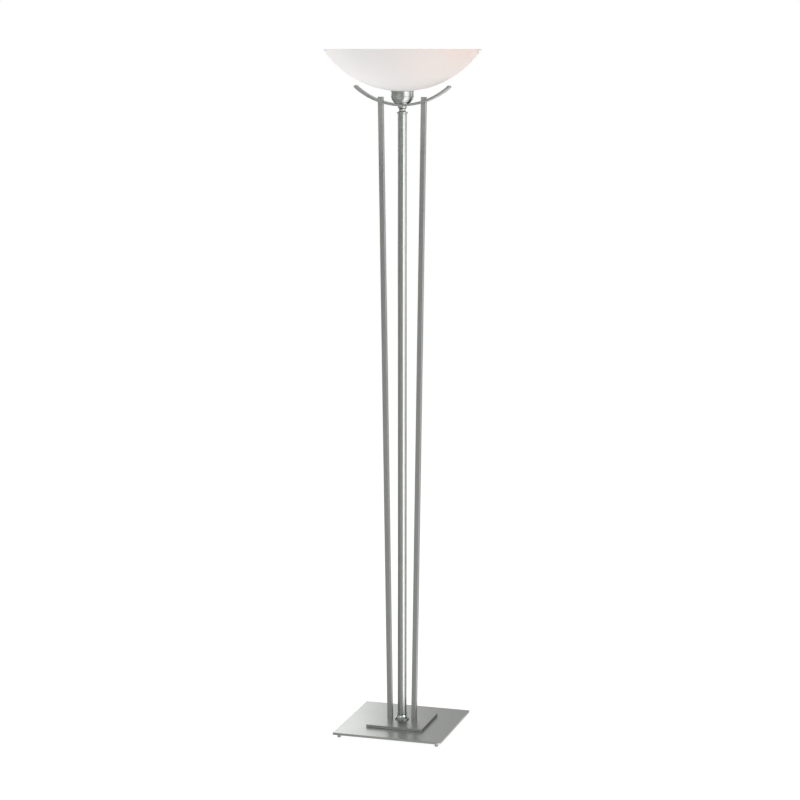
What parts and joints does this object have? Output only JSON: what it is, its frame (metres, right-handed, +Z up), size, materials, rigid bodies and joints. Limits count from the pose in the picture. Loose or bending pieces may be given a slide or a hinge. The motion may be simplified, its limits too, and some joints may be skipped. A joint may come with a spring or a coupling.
{
  "type": "torchiere floor lamp",
  "caption": "Floor lamp with an upturned opal glass bowl on a turned cup and bent bow, carried by a round tube and leaning square bars on a stepped square base.",
  "frame": {"origin": "on the floor, under the lamp's axis", "axes": "+Z up the column; +X along the bow and the front edge of the base, to the right seen from the front; -Y faces the front"},
  "size_m": [0.4016, 0.4016, 1.7801],
  "materials": {
    "satin_nickel": "satin",
    "bright_nickel": "polished",
    "zinc_steel": "satin",
    "opal_glass": "gloss",
    "silicone": "matte",
    "nylon": "matte",
    "phenolic": "satin",
    "porcelain": "satin",
    "brass": "satin",
    "frosted_glass": "satin",
    "bulb_aluminium": "satin",
    "black_glass": "gloss"
  },
  "bodies": {
    "lamp": {"base_plate": "satin_nickel", "top_plate": "satin_nickel", "left_bar": "satin_nickel", "right_bar": "satin_nickel", "centre_tube": "satin_nickel", "neck": "satin_nickel", "bow": "satin_nickel", "cup": "satin_nickel", "foot_ring": "bright_nickel", "plate_screws": "zinc_steel", "bar_screws": "zinc_steel", "bow_set_screws": "zinc_steel", "tie_rod": "zinc_steel", "rod_washer": "zinc_steel", "rod_nut": "zinc_steel", "cup_washer": "zinc_steel", "cup_nut": "zinc_steel", "bowl": "opal_glass", "bowl_gasket": "silicone", "ring_washer": "silicone", "tube_ring": "nylon", "holder_cap": "phenolic", "holder_skirt": "phenolic", "cord_bushing": "phenolic", "holder_core": "porcelain", "screw_shell": "brass", "centre_contact": "brass", "terminal_screws": "brass"},
    "front_left_foot": {"foot_front_left": "bright_nickel", "glide_pad_front_left": "nylon"},
    "front_right_foot": {"foot_front_right": "bright_nickel", "glide_pad_front_right": "nylon"},
    "back_left_foot": {"foot_back_left": "bright_nickel", "glide_pad_back_left": "nylon"},
    "back_right_foot": {"foot_back_right": "bright_nickel", "glide_pad_back_right": "nylon"},
    "clamp_ring": {"shade_ring": "phenolic"},
    "bulb": {"bulb_globe": "frosted_glass", "bulb_cap": "bulb_aluminium", "bulb_insulator": "black_glass", "bulb_contact": "brass"}
  },
  "joints": [
    {"name": "front_left_foot_screw", "type": "slide", "parent": "lamp", "child": "front_left_foot", "axis": [0, 0, -1], "range_m": [0, 0.0025]},
    {"name": "front_right_foot_screw", "type": "slide", "parent": "lamp", "child": "front_right_foot", "axis": [0, 0, -1], "range_m": [0, 0.0025]},
    {"name": "back_left_foot_screw", "type": "slide", "parent": "lamp", "child": "back_left_foot", "axis": [0, 0, -1], "range_m": [0, 0.0025]},
    {"name": "back_right_foot_screw", "type": "slide", "parent": "lamp", "child": "back_right_foot", "axis": [0, 0, -1], "range_m": [0, 0.0025]},
    {"name": "clamp_ring_screw", "type": "slide", "parent": "lamp", "child": "clamp_ring", "axis": [0, 0, 1], "range_m": [0, 0.005]},
    {"name": "bulb_lift", "type": "slide", "parent": "lamp", "child": "bulb", "axis": [0, 0, 1], "range_m": [0, 0.14]}
  ]
}
